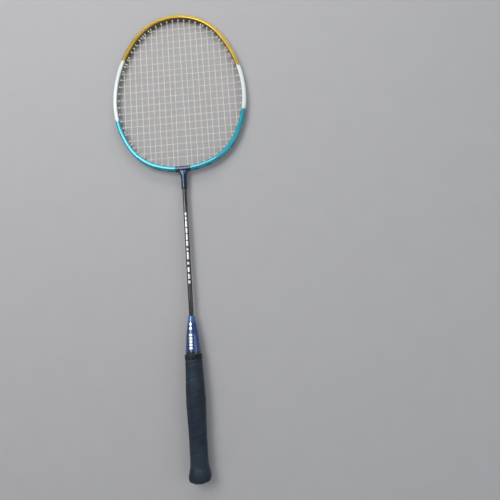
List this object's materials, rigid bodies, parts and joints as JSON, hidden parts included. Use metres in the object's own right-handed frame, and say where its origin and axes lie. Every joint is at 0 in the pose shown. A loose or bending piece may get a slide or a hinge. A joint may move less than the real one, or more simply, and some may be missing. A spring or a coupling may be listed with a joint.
{
  "type": "badminton racket",
  "caption": "Badminton racket: strung oval head frame on a T-joint, slim shaft, moulded cone and a wrapped octagonal handle with a flared butt cap.",
  "frame": {"origin": "centre of the butt's end face", "axes": "+Y along the racket from the butt to the top of the head, +Z out of one hitting face, X across the head; the string bed is the plane Z = 0"},
  "size_m": [0.2, 0.673, 0.0294],
  "materials": {
    "frame_paint": "glossy metallic lacquer: gold over the top, pearl white at the sides, teal round the bottom",
    "joint_paint": "glossy dark navy over cast metal",
    "black_trim": "glossy black",
    "shaft_lacquer": "clear lacquer over dark wound fibre, with pale dashes",
    "cone_blue": "glossy metallic blue with pale plain marks",
    "beech": "sanded, unvarnished",
    "cap_plastic": "moulded, fine grain",
    "nail_steel": "plain",
    "badge_plastic": "plain blue disc with a ring",
    "grip_wrap": "soft navy-black synthetic leather, fine pebble grain, slightly tacky sheen",
    "black_tape": "smooth vinyl tape",
    "grommet_nylon": "milky nylon",
    "string": "cream multifilament nylon with a clear coat"
  },
  "bodies": {
    "root": {"head_frame": "frame_paint", "t_joint": "joint_paint", "leg_ring": "black_trim", "shaft": "shaft_lacquer", "shaft_plug": "grommet_nylon", "cone": "cone_blue", "handle_core": "beech", "butt_cap": "cap_plastic", "butt_cap_nails": "nail_steel", "butt_badge": "badge_plastic", "grip_wrap": "grip_wrap", "finishing_tape": "black_tape", "grommets_top": "grommet_nylon", "grommets_bottom": "grommet_nylon", "grommets_left": "grommet_nylon", "grommets_right": "grommet_nylon", "grommets_throat": "grommet_nylon", "grommets_tie_off": "grommet_nylon", "main_string": "string", "cross_string": "string", "main_left_knot": "string", "main_right_knot": "string", "cross_upper_knot": "string", "cross_lower_knot": "string"}
  },
  "joints": []
}
